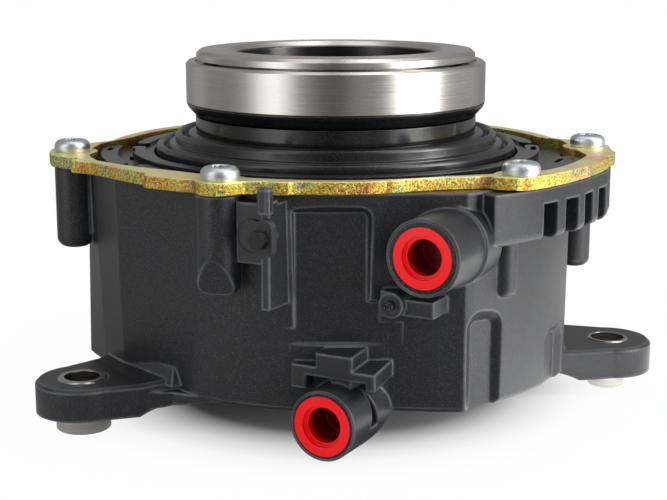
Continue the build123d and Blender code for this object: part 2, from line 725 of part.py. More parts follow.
# Spring seat and preload spring
seat_low = pocket_top - seat_t
spring_seat = ring(spring_mean_r - seat_half, spring_mean_r + seat_half, seat_low, pocket_top)
export_step(spring_seat, "parts/spring_seat.step")
spring_low = floor_top + fit_gap + spring_wire / 2
spring_high = seat_low - fit_gap - spring_wire / 2
spring_h = spring_high - spring_low
coil = Helix(pitch=spring_h / spring_turns, height=spring_h, radius=spring_mean_r)
wire = sweep(Plane(origin=coil @ 0, z_dir=coil % 0) * Circle(spring_wire / 2), path=coil, is_frenet=True)
export_step(Pos(0, 0, spring_low) * wire, "parts/preload_spring.step")

# Bearing carrier with its foot, collar and neck, and the clip that holds the bearing on the neck
carrier_foot_h = 3.0
carrier = lathe(
    [
        (carrier_in_r, piston_land_top),
        (carrier_foot_r, piston_land_top),
        (carrier_foot_r, piston_land_top + carrier_foot_h),
        (carrier_out_r, piston_land_top + carrier_foot_h + 2.0),
        (carrier_out_r, collar_low),
        (carrier_collar_r, collar_low),
        (carrier_collar_r, collar_high),
        (neck_r, collar_high),
        (neck_r, neck_top),
        (carrier_in_r, neck_top),
    ]
)
clip_in_r = neck_r - clip_groove
clip_out_r = neck_r + 2.2
carrier -= ring(clip_in_r, neck_r + 1, clip_low, clip_low + clip_h)
export_step(carrier, "parts/bearing_carrier.step")
clip = ring(clip_in_r, clip_out_r, clip_low, clip_low + clip_h)
clip -= block(clip_in_r - 4, clip_out_r + 4, -clip_h * 3, clip_h * 3, clip_low - 1, clip_low + 5)
export_step(clip, "parts/carrier_clip.step")

# Tapered soft ring below the bearing
shell = lathe(
    [
        (neck_r + fit_gap, collar_high),
        (carrier_collar_r - 1.8, collar_high),
        (carrier_collar_r + 0.2, collar_high + shell_h * 0.15),
        (bearing_r - 0.6, bearing_low - shell_h * 0.3),
        (bearing_r - 0.1, bearing_low),
        (neck_r + fit_gap, bearing_low),
    ]
)
export_step(shell, "parts/bearing_shell.step")

# Release bearing: standing outer ring, turning inner ring, balls in a cage
rim = 1.0
shelf_h = 2.2
inner_wall_r = bearing_r - 6.4
outer = lathe(
    [
        (neck_r + fit_gap, bearing_low),
        (bearing_r - 0.4, bearing_low),
        (bearing_r, bearing_low + 0.4),
        (bearing_r, bearing_high - rim),
        (bearing_r - rim, bearing_high),
        (top_flange_r + flange_gap, bearing_high),
        (top_flange_r + flange_gap, bearing_high - rim),
        (inner_wall_r, bearing_high - shelf_h),
        (inner_wall_r, bearing_low + shelf_h),
        (neck_r + fit_gap, bearing_low + shelf_h),
    ]
)
race = Pos(0, 0, ball_z) * Torus(ball_ring_r, ball_r + race_gap)
export_step(outer - race, "parts/bearing_outer_ring.step")
inner_low = bearing_low + 1.0
inner = lathe(
    [
        (inner_ring_r, inner_low),
        (inner_ring_out_r, inner_low),
        (inner_ring_out_r, top_flange_low),
        (top_flange_r, top_flange_low),
        (top_flange_r, total_high - 1.6),
        (top_flange_r - 1.4, total_high - 0.2),
        (top_flange_r - 3.4, total_high),
        (inner_ring_r + 2.6, total_high),
        (inner_ring_r, total_high - 2.4),
    ]
)
export_step(inner - race, "parts/bearing_inner_ring.step")
ball_spots = [polar(ball_ring_r, 360 * i / ball_count, ball_z) for i in range(ball_count)]
balls = [Pos(*spot) * Sphere(ball_r) for spot in ball_spots]
export_step(Compound(children=balls), "parts/bearing_balls.step")
cage_half = 1.7
cage = ring(ball_ring_r - cage_half, ball_ring_r + cage_half, ball_z - 3.0, ball_z + 5.4)
for i, spot in enumerate(ball_spots):
    hole = Rot(0, 90, 0) * Cylinder(ball_r + 1.5 * race_gap, 4 * ball_r)
    cage -= Pos(*spot) * Rot(0, 0, 360 * i / ball_count) * hole
export_step(cage, "parts/bearing_cage.step")

# Dust boot from the carrier's collar down to the cover: radius outside or inside the folds, and
# height as a share of the room between the bead and the collar
boot_low = bead_low + bead_h
boot_room = collar_low - 3 * fit_gap - boot_low
boot_outside = [
    (0.0, 0.725), (0.0, 1.0), (5.4, 1.0), (6.4, 0.958), (7.6, 0.742), (8.6, 0.742), (9.4, 0.975),
    (10.4, 1.025), (11.4, 0.975), (12.0, 0.892), (12.0, 0.642), (14.6, 0.625), (15.6, 0.408),
    (16.4, 0.408), (17.2, 0.592), (18.4, 0.642), (19.6, 0.592), (20.2, 0.508), (20.2, 0.008),
]
boot_inside = [
    (18.8, 0.342), (18.2, 0.475), (17.4, 0.308), (14.4, 0.308), (13.6, 0.508), (10.6, 0.525),
    (10.6, 0.858), (10.0, 0.858), (9.6, 0.625), (6.6, 0.625), (5.4, 0.875), (2.0, 0.875), (2.0, 0.725),
]
bead_neck = cover_in_r - fit_gap
boot_points = [(carrier_out_r + off, boot_low + share * boot_room) for off, share in boot_outside]
boot_points += [(bead_neck, boot_low + 0.1), (bead_neck, boot_low), (bead_r, boot_low), (bead_r, bead_low)]
boot_points += [(carrier_out_r + 18.8, bead_low)]
boot_points += [(carrier_out_r + off, boot_low + share * boot_room) for off, share in boot_inside]
export_step(lathe(boot_points), "parts/dust_boot.step")


# Port collars and transport plugs
def port_parts(x, z, face, outer_r, tag):
    ring_part = along_y(outer_r - thread_gap, x, z, face, face + collar_depth)
    ring_part -= along_y(plug_flange_r + fit_gap, x, z, face - 1, face + plug_flange_t)
    ring_part -= along_y(plug_body_r + fit_gap, x, z, face - 1, face + collar_depth + 1)
    export_step(ring_part, f"parts/{tag}_port_collar.step")
    plug = along_y(plug_flange_r, x, z, face - plug_proud, face + plug_flange_t)
    plug += along_y(plug_body_r, x, z, face, face + plug_body_l)
    plug -= along_y(plug_step_r, x, z, face - 2, face + plug_step_t)
    plug -= along_y(plug_bore_r, x, z, face - 2, face + plug_body_l - plug_floor)
    export_step(plug, f"parts/{tag}_port_plug.step")


port_parts(port_x, port_z, port_face, collar_r, "supply")
port_parts(low_x, low_z, low_face, low_collar_r, "exhaust")

# Travel sensor on the rail: gasket disc, rounded three-cornered flange with probe, hexagon screw
sensor_t = 3.0
sensor_back = bar_face - fit_gap
corner_r = 3.5
corner_reach = 4.3
hex_r = 3.6
hex_h = 3.2
hex_head = extrude(RegularPolygon(hex_r, 6), amount=hex_h)
gasket = along_y(gasket_r, probe_x, sensor_z, sensor_back, panel_face)
gasket -= along_y(probe_r + fit_gap, probe_x, sensor_z, sensor_back - 1, panel_face + 1)
gasket -= block(bar_x - fit_gap, bar_x + 5 * bar_w, bar_face - 1, panel_face + 1, bar_low, drum_top)
export_step(gasket, "parts/sensor_gasket.step")
corners = [Pos(*polar(corner_reach, 60 + 120 * i)) * Circle(corner_r).edge() for i in range(3)]
tri = Rot(90, 0, 0) * extrude(make_hull(corners), amount=sensor_t)
sensor = Pos(sensor_x - 0.9, sensor_back, sensor_z) * tri
sensor += along_y(probe_r, probe_x, sensor_z, sensor_back - 1.0, bar_face + probe_l)
sensor -= along_y(sensor_pin_r + thread_gap, sensor_x, sensor_z, sensor_back - sensor_t - 1, sensor_back + 1)
export_step(sensor, "parts/travel_sensor.step")
hex_part = Pos(sensor_x, sensor_back - sensor_t, sensor_z) * Rot(90, 0, 0) * hex_head
hex_part += along_y(sensor_pin_r, sensor_x, sensor_z, sensor_back - sensor_t - 0.2, bar_face + sensor_pin_l)
export_step(hex_part, "parts/sensor_screw.step")

# Plug that closes the moulded duct
pin = along_y(plug_pin_r, pad_x, pad_z, pad_face - plug_pin_proud, pad_face + plug_pin_l)
pin = chamfer(pin.edges().sort_by(Axis.Y)[0], 0.8)
export_step(pin, "parts/duct_plug.step")
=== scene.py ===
# %% [markdown]
# # Clutch actuator, dressed for a studio picture
# A ring-shaped air cylinder that pushes a clutch's release bearing. The CAD file is exact but
# plain, so this lesson loads it, keeps every size, and gives each piece the finish that the
# real one has: moulded black housing, yellow zinc plate, ground bearing steel, rubber boot and
# red transport plugs. All lengths are in metres, Z is up, and the drum's axis is Z.

# %% Load the frame
from math import cos, pi, radians, sin

import bpy
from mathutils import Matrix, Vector


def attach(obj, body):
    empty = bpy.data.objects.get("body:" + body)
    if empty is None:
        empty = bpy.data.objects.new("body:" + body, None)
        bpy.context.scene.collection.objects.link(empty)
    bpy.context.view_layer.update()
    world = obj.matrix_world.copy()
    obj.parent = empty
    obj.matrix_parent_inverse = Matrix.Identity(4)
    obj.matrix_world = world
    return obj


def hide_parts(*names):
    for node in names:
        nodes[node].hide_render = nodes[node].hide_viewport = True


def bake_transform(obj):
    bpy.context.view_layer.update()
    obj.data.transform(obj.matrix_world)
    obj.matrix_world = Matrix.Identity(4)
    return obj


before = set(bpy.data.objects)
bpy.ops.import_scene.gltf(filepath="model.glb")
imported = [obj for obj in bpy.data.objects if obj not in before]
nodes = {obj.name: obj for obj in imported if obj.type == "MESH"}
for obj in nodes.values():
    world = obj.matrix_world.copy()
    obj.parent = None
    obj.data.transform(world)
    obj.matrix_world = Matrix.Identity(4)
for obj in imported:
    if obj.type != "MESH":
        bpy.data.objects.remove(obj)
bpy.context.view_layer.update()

# %% [markdown]
# The picture is taken from a little above and from the ports' side. The camera's place comes
# from matching round edges of the CAD model to the photograph, so it is typed as measured: the
# turn round the drum, the distance, the height and how far it looks down. The focal length was
# matched in pixels of the picture, and the sensor's width turns it into the millimetres of a lens.

# %% Camera
view_turn = radians(28)
view_distance = 0.626
view_height = 0.1933
view_pitch = radians(12.05)
view_aside = 0.00094
focal_pixels = 1453
picture_width = 667
sensor_width = 36
towards = Vector((sin(view_turn), -cos(view_turn), 0))
right_hand = Vector((cos(view_turn), sin(view_turn), 0))

bpy.ops.object.camera_add()
camera = bpy.context.object
camera.name = "photo_camera"
camera.location = towards * view_distance - right_hand * view_aside + Vector((0, 0, view_height))
camera.rotation_euler = (pi / 2 - view_pitch, 0, view_turn)
camera.data.sensor_width = sensor_width
camera.data.lens = focal_pixels * sensor_width / picture_width
camera.data.clip_start = 0.02
camera.data.clip_end = 30
bpy.context.scene.camera = camera
bpy.context.scene.view_settings.view_transform = "Standard"
print("camera at", [round(c, 4) for c in camera.location], "lens", round(camera.data.lens, 1))

# %% [markdown]
# A shader is a small web of nodes. Two helpers keep the webs readable: one starts a node group
# with named sockets, the other wires a node with its settings in one line. A third reads the
# compass angle of a direction or a place, which sky and floor both need.

# %% Helpers for node webs
def add_node(tree, kind, sockets=None, **settings):
    """A node of this kind with its settings; each socket gets a value or a link."""
    node = tree.nodes.new("ShaderNode" + kind)
    for key, value in settings.items():
        setattr(node, key, value)
    for key, value in (sockets or {}).items():
        if isinstance(value, bpy.types.NodeSocket):
            tree.links.new(value, node.inputs[key])
        else:
            node.inputs[key].default_value = value
    return node


def math_node(tree, operation, *values):
    """A Math node's result."""
    return add_node(tree, "Math", dict(enumerate(values)), operation=operation).outputs[0]


def start_group(name, inputs, outputs):
    """An empty node group with these named inputs (with start values) and outputs."""
    group = bpy.data.node_groups.new(name, "ShaderNodeTree")
    for label, value in inputs.items():
        socket = group.interface.new_socket(label, in_out="INPUT", socket_type="NodeSocketFloat")
        socket.default_value = value
    for label, kind in outputs.items():
        group.interface.new_socket(label, in_out="OUTPUT", socket_type="NodeSocket" + kind)
    return group, group.nodes.new("NodeGroupInput"), group.nodes.new("NodeGroupOutput")


def ramp(tree, factor, stops):
    """A colour ramp with (place, grey or colour) stops."""
    node = tree.nodes.new("ShaderNodeValToRGB")
    tree.links.new(factor, node.inputs["Fac"])
    elements = node.color_ramp.elements
    for i, (place, colour) in enumerate(stops):
        element = elements[i] if i < 2 else elements.new(place)
        element.position = place
        shade = (colour,) * 3 if isinstance(colour, (int, float)) else colour
        element.color = (*shade, 1)
    return node.outputs["Color"]


def share_along(tree, vector, axis):
    """How far the vector reaches along this axis."""
    return add_node(tree, "VectorMath", {0: vector, 1: axis}, operation="DOT_PRODUCT").outputs["Value"]


def compass_ramp(tree, vector, levels, top):
    """Brightness by compass angle: 0 degrees is towards the camera, 90 is to its right; top is white."""
    across, ahead = share_along(tree, vector, right_hand), share_along(tree, vector, towards)
    angle = math_node(tree, "ARCTAN2", across, ahead)
    around = math_node(tree, "MULTIPLY_ADD", angle, 1 / (2 * pi), 0.5)
    return ramp(tree, around, [(degrees / 360 + 0.5, level / top) for degrees, level in levels])


print("helpers ready")

# %% [markdown]
# A studio is a ring of bright and dark areas that polished metal shows as upright bands. The
# bearing in the picture has a broad band left of the middle and a brighter one on the right, so
# the brightness that reflections see follows the compass angle. Matte surfaces get a plain even
# level instead, at which a colour looks as it is written, and the camera itself sees white.

# %% World
world = bpy.data.worlds.new("studio")
bpy.context.scene.world = world
world.use_nodes = True
sky = world.node_tree
sky.nodes.clear()
direction = add_node(sky, "TexCoord").outputs["Generated"]
bands = (
    (-180, 0.35), (-150, 0.3), (-125, 0.5), (-110, 0.35), (-86, 0.35), (-74, 0.5), (-66, 0.9),
    (-58, 1.7), (-44, 2.2), (-36, 1.5), (-28, 0.6), (-18, 0.3), (-8, 0.14), (4, 0.13), (12, 0.3),
    (20, 0.4), (32, 0.4), (40, 0.6), (50, 2.6), (58, 4.8), (70, 4.8), (78, 2.4), (86, 0.9),
    (98, 0.55), (128, 0.5), (150, 0.3), (180, 0.35))
brightest = max(level for degrees, level in bands)
matte_level = 0.75
studio = compass_ramp(sky, direction, bands, brightest)
rays = add_node(sky, "LightPath").outputs
glow = add_node(sky, "Background", {"Color": studio, "Strength": brightest})
level = add_node(sky, "Background", {"Color": (1, 1, 1, 1), "Strength": matte_level})
white = add_node(sky, "Background", {"Color": (1, 1, 1, 1), "Strength": 1.0})
lit = add_node(sky, "MixShader", {0: rays["Is Glossy Ray"], 1: level.outputs[0], 2: glow.outputs[0]})
see_through = math_node(sky, "MAXIMUM", rays["Is Camera Ray"], rays["Is Transmission Ray"])
seen = add_node(sky, "MixShader", {0: see_through, 1: lit.outputs[0], 2: white.outputs[0]})
add_node(sky, "OutputWorld", {"Surface": seen.outputs[0]})
print("world bands:", len(bands))

# %% [markdown]
# Three large soft lamps give the picture its form: the strongest from the right, a weaker one
# from the left and one from above. Large lamps make soft shadows, as a photographer's boxes do.

# %% Lamps
drum_middle = Vector((0, 0, 0.08))


def soft_lamp(name, turn, height, distance, size, power):
    """An area lamp aimed at the drum's middle; turn is counted from the camera to the right."""
    place = (towards * cos(radians(turn)) + right_hand * sin(radians(turn))) * distance
    bpy.ops.object.light_add(type="AREA", location=place + Vector((0, 0, height)))
    lamp = bpy.context.object
    lamp.name = name
    lamp.data.shape = "RECTANGLE"
    lamp.data.size, lamp.data.size_y = size
    lamp.data.energy = power
    aim = drum_middle - lamp.location
    lamp.rotation_mode = "QUATERNION"
    lamp.rotation_quaternion = aim.to_track_quat("-Z", "Y")
    print(name, power, "W")


soft_lamp("right_box", 72, 0.7, 1.5, (0.6, 1.0), 18)
soft_lamp("left_box", -50, 0.75, 1.5, (0.4, 1.0), 1.0)
soft_lamp("top_box", 180, 1.6, 0.35, (1.2, 0.8), 4)

# %% [markdown]
# The floor is pale and catches the soft shadow close to the object. Further out it turns into
# plain white for the camera, so that no horizon shows. Reflections see a round table top instead,
# which glows with painted light by compass angle, as a white card would light it: one broad bright
# sector on the right draws the highlights on the right wall, and the dimmer rest gives the other
# walls their soft grey. Its glow is cut down under the drum as a painted shadow, and it ends where
# the reflections in the bearing begin.

# %% Floor
bpy.ops.object.select_all(action="DESELECT")
bpy.ops.mesh.primitive_plane_add(size=12)
floor = bpy.context.object
floor.name = "studio_floor"
floor_paint = bpy.data.materials.new("studio_floor")
floor_paint.use_nodes = True
tree = floor_paint.node_tree
tree.nodes.clear()
place = add_node(tree, "TexCoord").outputs["Object"]
reach = add_node(tree, "VectorMath", {0: place}, operation="LENGTH").outputs["Value"]
fade = ramp(tree, reach, [(0.07, 0.0), (0.09, 0.55), (0.106, 0.88), (0.125, 0.97), (0.3, 1.0)])
rays = add_node(tree, "LightPath").outputs
share = math_node(tree, "MULTIPLY", fade, rays["Is Camera Ray"])
# painted light: the table top seen in reflections glows by compass angle, brightest on the right
painted_card_levels = (
    (-180, 0.5), (-100, 0.35), (-82, 0.3), (-72, 0.5), (-56, 0.6), (-46, 0.45), (-30, 0.35), (0, 0.3),
    (25, 0.3), (34, 1.0), (44, 3.6), (60, 4.2), (72, 3.0), (86, 2.2), (100, 1.8), (128, 1.2),
    (145, 0.5), (180, 0.5))
brightest_painted_card = max(level for degrees, level in painted_card_levels)
painted_card_level = compass_ramp(tree, place, painted_card_levels, brightest_painted_card)
# painted shadow: the glow falls to a fifth close to the drum
painted_foot_shadow = ramp(tree, reach, [(0.08, 0.2), (0.13, 1.0)])
painted_card_strength = math_node(tree, "MULTIPLY", painted_foot_shadow, brightest_painted_card)
painted_card_glow = add_node(tree, "Emission", {"Color": painted_card_level, "Strength": painted_card_strength})
table_end = ramp(tree, reach, [(0.42, 0.0), (0.52, 1.0)])
matte = add_node(tree, "BsdfDiffuse", {"Color": (0.9, 0.9, 0.9, 1)})
plain = add_node(tree, "Emission", {"Color": (1, 1, 1, 1), "Strength": 1.0})
both = add_node(tree, "MixShader", {0: share, 1: matte.outputs[0], 2: plain.outputs[0]})
clear = add_node(tree, "BsdfTransparent")
reflected = add_node(tree, "MixShader", {0: table_end, 1: painted_card_glow.outputs[0], 2: clear.outputs[0]})
split = add_node(tree, "MixShader", {0: rays["Is Glossy Ray"], 1: both.outputs[0], 2: reflected.outputs[0]})
add_node(tree, "OutputMaterial", {"Surface": split.outputs[0]})
floor.data.materials.append(floor_paint)
print("floor", floor.dimensions.x, "m wide")

# %% [markdown]
# Effects that several finishes share are node groups with named inputs. "cast grain" is the
# fine pebbled skin that a mould leaves: two sizes of noise added to one height.

# %% Group: cast grain
grain_group, start, end = start_group(
    "cast grain", {"Fine": 2600.0, "Broad": 700.0, "Share": 0.4}, {"Height": "Float", "Speck": "Float"})
place = add_node(grain_group, "TexCoord").outputs["Object"]
fine = add_node(grain_group, "TexNoise", {"Vector": place, "Scale": start.outputs["Fine"], "Detail": 2.0})
broad = add_node(grain_group, "TexNoise", {"Vector": place, "Scale": start.outputs["Broad"], "Detail": 3.0})
height = add_node(grain_group, "Mix", {0: start.outputs["Share"], 2: fine.outputs[0], 3: broad.outputs[0]},
                  data_type="FLOAT")
grain_group.links.new(height.outputs[0], end.inputs["Height"])
speck = add_node(grain_group, "MapRange", {0: fine.outputs[0], 1: 0.52, 2: 0.72, 3: 0.0, 4: 1.0})
grain_group.links.new(speck.outputs[0], end.inputs["Speck"])
print("group:", grain_group.name)

# %% [markdown]
# Handling rubs edges bright, and the colour lifted there also paints a highlight along them. The
# Bevel node rounds the normal near an edge without changing the mesh, and where it leans away from
# the true normal there is an edge, so one node gives both the soft highlight along each edge and the
# mask for its wear and painted highlight.

# %% Group: edge wear and highlight
edge_group, start, end = start_group("edge wear and highlight", {"Radius": 0.0006, "Patchiness": 60.0},
                                     {"Normal": "Vector", "Edge": "Float"})
rounded = add_node(edge_group, "Bevel", {"Radius": start.outputs["Radius"]}, samples=6)
true_normal = add_node(edge_group, "NewGeometry").outputs["Normal"]
agree = add_node(edge_group, "VectorMath", {0: rounded.outputs[0], 1: true_normal}, operation="DOT_PRODUCT")
bent = math_node(edge_group, "SUBTRACT", 1.0, agree.outputs["Value"])
mask = add_node(edge_group, "MapRange", {0: bent, 1: 0.008, 2: 0.12, 3: 0.0, 4: 1.0}).outputs[0]
place = add_node(edge_group, "TexCoord").outputs["Object"]
patch = add_node(edge_group, "TexNoise", {
    "Vector": place, "Scale": start.outputs["Patchiness"], "Detail": 4.0})
patchy = add_node(edge_group, "MapRange", {0: patch.outputs[0], 1: 0.35, 2: 0.6, 3: 0.35, 4: 1.0}).outputs[0]
wear_and_highlight = math_node(edge_group, "MULTIPLY", mask, patchy)
edge_group.links.new(rounded.outputs[0], end.inputs["Normal"])
edge_group.links.new(wear_and_highlight, end.inputs["Edge"])
print("group:", edge_group.name)

# %% [markdown]
# Turned and ground steel has fine lines round its axis. The noise here reads only the distance
# from the axis and the height, so each line runs all the way round.

# %% Group: turned lines
line_group, start, end = start_group("turned lines", {"Density": 3000.0},
                                     {"Height": "Float", "Streak": "Float", "Radius": "Float"})
place = add_node(line_group, "TexCoord").outputs["Object"]
parts = add_node(line_group, "SeparateXYZ", {0: place}).outputs
flat = add_node(line_group, "CombineXYZ", {0: parts[0], 1: parts[1]}).outputs[0]
radius = add_node(line_group, "VectorMath", {0: flat}, operation="LENGTH").outputs["Value"]
across = add_node(line_group, "CombineXYZ", {0: radius, 1: parts[2]}).outputs[0]
lines = add_node(line_group, "TexNoise", {"Vector": across, "Scale": start.outputs["Density"], "Detail": 2.0})
streak_place = add_node(line_group, "Mapping", {"Vector": place, "Scale": (30, 30, 2500)}).outputs[0]
streak = add_node(line_group, "TexNoise", {"Vector": streak_place, "Scale": 1.0, "Detail": 3.0})
line_group.links.new(lines.outputs[0], end.inputs["Height"])
line_group.links.new(streak.outputs[0], end.inputs["Streak"])
line_group.links.new(radius, end.inputs["Radius"])
print("group:", line_group.name)

# %% [markdown]
# Every finish below starts from one recipe: a Principled BSDF whose base colour is lifted on
# edges, as wear and as a painted highlight, and on specks, whose roughness varies over the surface,
# and whose normal is the rounded one with a fine bump on top.

# %% The recipe
def use_group(tree, group, **values):
    """The group's node in this material with its own values."""
    node = tree.nodes.new("ShaderNodeGroup")
    node.node_tree = group
    for key, value in values.items():
        node.inputs[key].default_value = value
    return node.outputs


def mixed(tree, factor, first, second):
    """Two colours mixed by a mask."""
    sockets = {0: factor}
    for key, colour in ((6, first), (7, second)):
        sockets[key] = colour if isinstance(colour, bpy.types.NodeSocket) else (*colour, 1)
    return add_node(tree, "Mix", sockets, data_type="RGBA").outputs[2]


def stretch(tree, value, low, high, to_low, to_high):
    """The value, mapped from one range to another."""
    return add_node(tree, "MapRange", {0: value, 1: low, 2: high, 3: to_low, 4: to_high}).outputs[0]


def start_finish(name, **constants):
    """A new material: its tree and its Principled BSDF with the constants set."""
    paint = bpy.data.materials.new(name)
    paint.use_nodes = True
    tree = paint.node_tree
    shader = tree.nodes["Principled BSDF"]
    for key, value in constants.items():
        shader.inputs[key.replace("_", " ")].default_value = value
    return paint, tree, shader


def connect(tree, shader, colour, rough, height, depth, normal):
    """Wires colour, roughness and bump to the shader."""
    bump = add_node(tree, "Bump", {"Height": height, "Strength": 1.0, "Distance": depth, "Normal": normal})
    tree.links.new(colour, shader.inputs["Base Color"])
    tree.links.new(rough, shader.inputs["Roughness"])
    tree.links.new(bump.outputs[0], shader.inputs["Normal"])


finishes = {}


def moulded(name, colour, edge_wear_and_highlight_colour, rough, depth, radius=0.0006, fine=2600.0, **constants):
    """Moulded or rubbery finish with grain, edge wear and a painted edge highlight."""
    paint, tree, shader = start_finish(name, **constants)
    grain = use_group(tree, grain_group, Fine=fine)
    edge = use_group(tree, edge_group, Radius=radius)
    patch_place = add_node(tree, "TexCoord").outputs["Object"]
    patch = add_node(tree, "TexNoise", {"Vector": patch_place, "Scale": 22.0, "Detail": 4.0}).outputs[0]
    darker, lighter = [c * 0.86 for c in colour], [c * 1.12 for c in colour]
    cloudy = mixed(tree, stretch(tree, patch, 0.35, 0.65, 0.0, 1.0), darker, lighter)
    specked = mixed(tree, stretch(tree, grain["Speck"], 0, 1, 0.0, 0.35), cloudy, edge_wear_and_highlight_colour)
    # edge wear and painted highlight: the colour is lifted towards the edge colour along edges
    final = mixed(tree, stretch(tree, edge["Edge"], 0, 1, 0.0, 0.8), specked, edge_wear_and_highlight_colour)
    roughness = stretch(tree, patch, 0.3, 0.7, rough * 0.88, rough * 1.12)
    connect(tree, shader, final, roughness, grain["Height"], depth, edge["Normal"])
    finishes[name] = paint


def machined(name, colour, dark, rough, depth, radius=0.0003, density=3000.0, dark_bore_r=0.0, **constants):
    """Bare metal with turned lines, faint stains, edge wear and a painted edge highlight; within dark_bore_r
    of the axis it is darker.
    """
    paint, tree, shader = start_finish(name, Metallic=1.0, **constants)
    lines = use_group(tree, line_group, Density=density)
    edge = use_group(tree, edge_group, Radius=radius)
    tone = mixed(tree, stretch(tree, lines["Streak"], 0.3, 0.7, 0.0, 1.0), dark, colour)
    rubbed_and_highlit = [min(1.0, c * 1.35) for c in colour]
    # edge wear and painted highlight: the steel is lightened along edges
    final = mixed(tree, stretch(tree, edge["Edge"], 0, 1, 0.0, 0.6), tone, rubbed_and_highlit)
    # darker within this radius of the axis
    if dark_bore_r:
        dark_bore = stretch(tree, lines["Radius"], dark_bore_r, dark_bore_r + 0.0006, 1.0, 0.0)
        final = mixed(tree, dark_bore, final, [c * 0.16 for c in dark])
    roughness = stretch(tree, lines["Streak"], 0.3, 0.7, rough * 0.85, rough * 1.2)
    connect(tree, shader, final, roughness, lines["Height"], depth, edge["Normal"])
    finishes[name] = paint


print("recipes ready")

# %% [markdown]
# The housing is moulded in glass-filled plastic, charcoal with a fine pebbled skin. Its sheen is
# soft, and its edges carry a thin light line that the lifted edge colour partly paints. Smaller
# black parts share the recipe with their own gloss: the cover is smoother, the port collars are
# blacker, the sensor's flange is matte.

# %% Black finishes
moulded("housing_skin", (0.0085, 0.0089, 0.0102), (0.22, 0.23, 0.25), 0.36, 0.0001, radius=0.0018,
        fine=3600.0, Specular_IOR_Level=0.42)
moulded("cover_black", (0.006, 0.0062, 0.007), (0.10, 0.10, 0.105), 0.26, 0.00003, fine=1800.0)
moulded("collar_black", (0.003, 0.003, 0.0034), (0.30, 0.30, 0.31), 0.2, 0.00002, radius=0.0004,
        Specular_IOR_Level=0.25)
moulded("sensor_black", (0.013, 0.0132, 0.014), (0.12, 0.12, 0.13), 0.55, 0.00008, radius=0.0003)
moulded("seal_rubber", (0.010, 0.010, 0.0105), (0.05, 0.05, 0.05), 0.5, 0.00004)
moulded("boot_rubber", (0.004, 0.0042, 0.0047), (0.05, 0.053, 0.06), 0.25, 0.00002, fine=1500.0)
moulded("carrier_black", (0.003, 0.0032, 0.004), (0.10, 0.10, 0.11), 0.15, 0.000003, radius=0.0004)
moulded("cage_plastic", (0.05, 0.05, 0.05), (0.12, 0.12, 0.12), 0.45, 0.00005)
moulded("sliding_plastic", (0.55, 0.50, 0.40), (0.7, 0.66, 0.55), 0.45, 0.00004)
print("black finishes:", len(finishes))

# %% [markdown]
# The transport plugs are glossy red plastic, strong and even in colour. Their bores are deep, and
# little light comes back out of them, so the red is mixed down with the depth behind the mouth.
# Each plug's mouth lies at its own place along Y, so the two share a recipe but not a material.

# %% Red plugs
def plug_red(name, mouth_y):
    """Red plastic that darkens inwards from the mouth of its bore."""
    paint, tree, shader = start_finish(name, Specular_IOR_Level=0.3, Coat_Weight=0.1, Coat_Roughness=0.1)
    place = add_node(tree, "TexCoord").outputs["Object"]
    edge = use_group(tree, edge_group, Radius=0.0004)
    grain = use_group(tree, grain_group, Fine=2600.0)
    depth = add_node(tree, "SeparateXYZ", {0: place}).outputs[1]
    inside = stretch(tree, depth, mouth_y + 0.0016, mouth_y + 0.007, 0.0, 1.0)
    cloud = add_node(tree, "TexNoise", {"Vector": place, "Scale": 60.0, "Detail": 3.0}).outputs[0]
    red = mixed(tree, cloud, (0.93, 0.001, 0.003), (0.98, 0.002, 0.006))
    deep = mixed(tree, inside, red, (0.16, 0.0, 0.001))
    # edge wear and painted highlight: a lighter red along edges
    final = mixed(tree, stretch(tree, edge["Edge"], 0, 1, 0.0, 0.5), deep, (1.0, 0.08, 0.08))
    rough = stretch(tree, cloud, 0.3, 0.7, 0.24, 0.34)
    connect(tree, shader, final, rough, grain["Height"], 0.00002, edge["Normal"])
    finishes[name] = paint
    print("red:", name)


plug_red("plug_red_upper", -0.0886)
plug_red("plug_red_lower", -0.1036)

# %% [markdown]
# Bare metals. The bearing rings are ground: bright, a little warm, with reflections drawn out
# upwards by lines that run round the axis, which the anisotropic setting does. The carrier tube
# is darkened steel and has its own finish above.

# %% Steels
machined("bearing_steel", (0.56, 0.53, 0.50), (0.49, 0.465, 0.44), 0.27, 0.0000015,
         Anisotropic=0.8, Anisotropic_Rotation=0.25, dark_bore_r=0.0437)
machined("bush_steel", (0.44, 0.43, 0.41), (0.30, 0.29, 0.27), 0.24, 0.00001, density=1500.0)
machined("ground_steel", (0.55, 0.54, 0.52), (0.42, 0.41, 0.40), 0.25, 0.000004)
machined("spring_steel", (0.22, 0.22, 0.225), (0.12, 0.12, 0.125), 0.35, 0.00001)
machined("ball_steel", (0.72, 0.72, 0.72), (0.6, 0.6, 0.6), 0.12, 0.000001)
machined("piston_metal", (0.62, 0.62, 0.62), (0.5, 0.5, 0.5), 0.34, 0.000006)
machined("black_oxide", (0.045, 0.045, 0.048), (0.03, 0.03, 0.032), 0.45, 0.00001)

# %% [markdown]
# Clear zinc on the screws is pale, soft and slightly grainy, from tumbling in the plating drum.

# %% Silver zinc
paint, tree, shader = start_finish("silver_zinc", Metallic=1.0)
grain = use_group(tree, grain_group, Fine=1400.0, Share=0.6)
edge = use_group(tree, edge_group, Radius=0.0004)
tone = mixed(tree, grain["Height"], (0.44, 0.46, 0.49), (0.62, 0.64, 0.67))
# edge wear and painted highlight: the zinc is lightened along edges
bright = mixed(tree, edge["Edge"], tone, (0.85, 0.86, 0.88))
roughness = stretch(tree, grain["Height"], 0.3, 0.7, 0.34, 0.5)
connect(tree, shader, bright, roughness, grain["Height"], 0.00003, edge["Normal"])
finishes["silver_zinc"] = paint
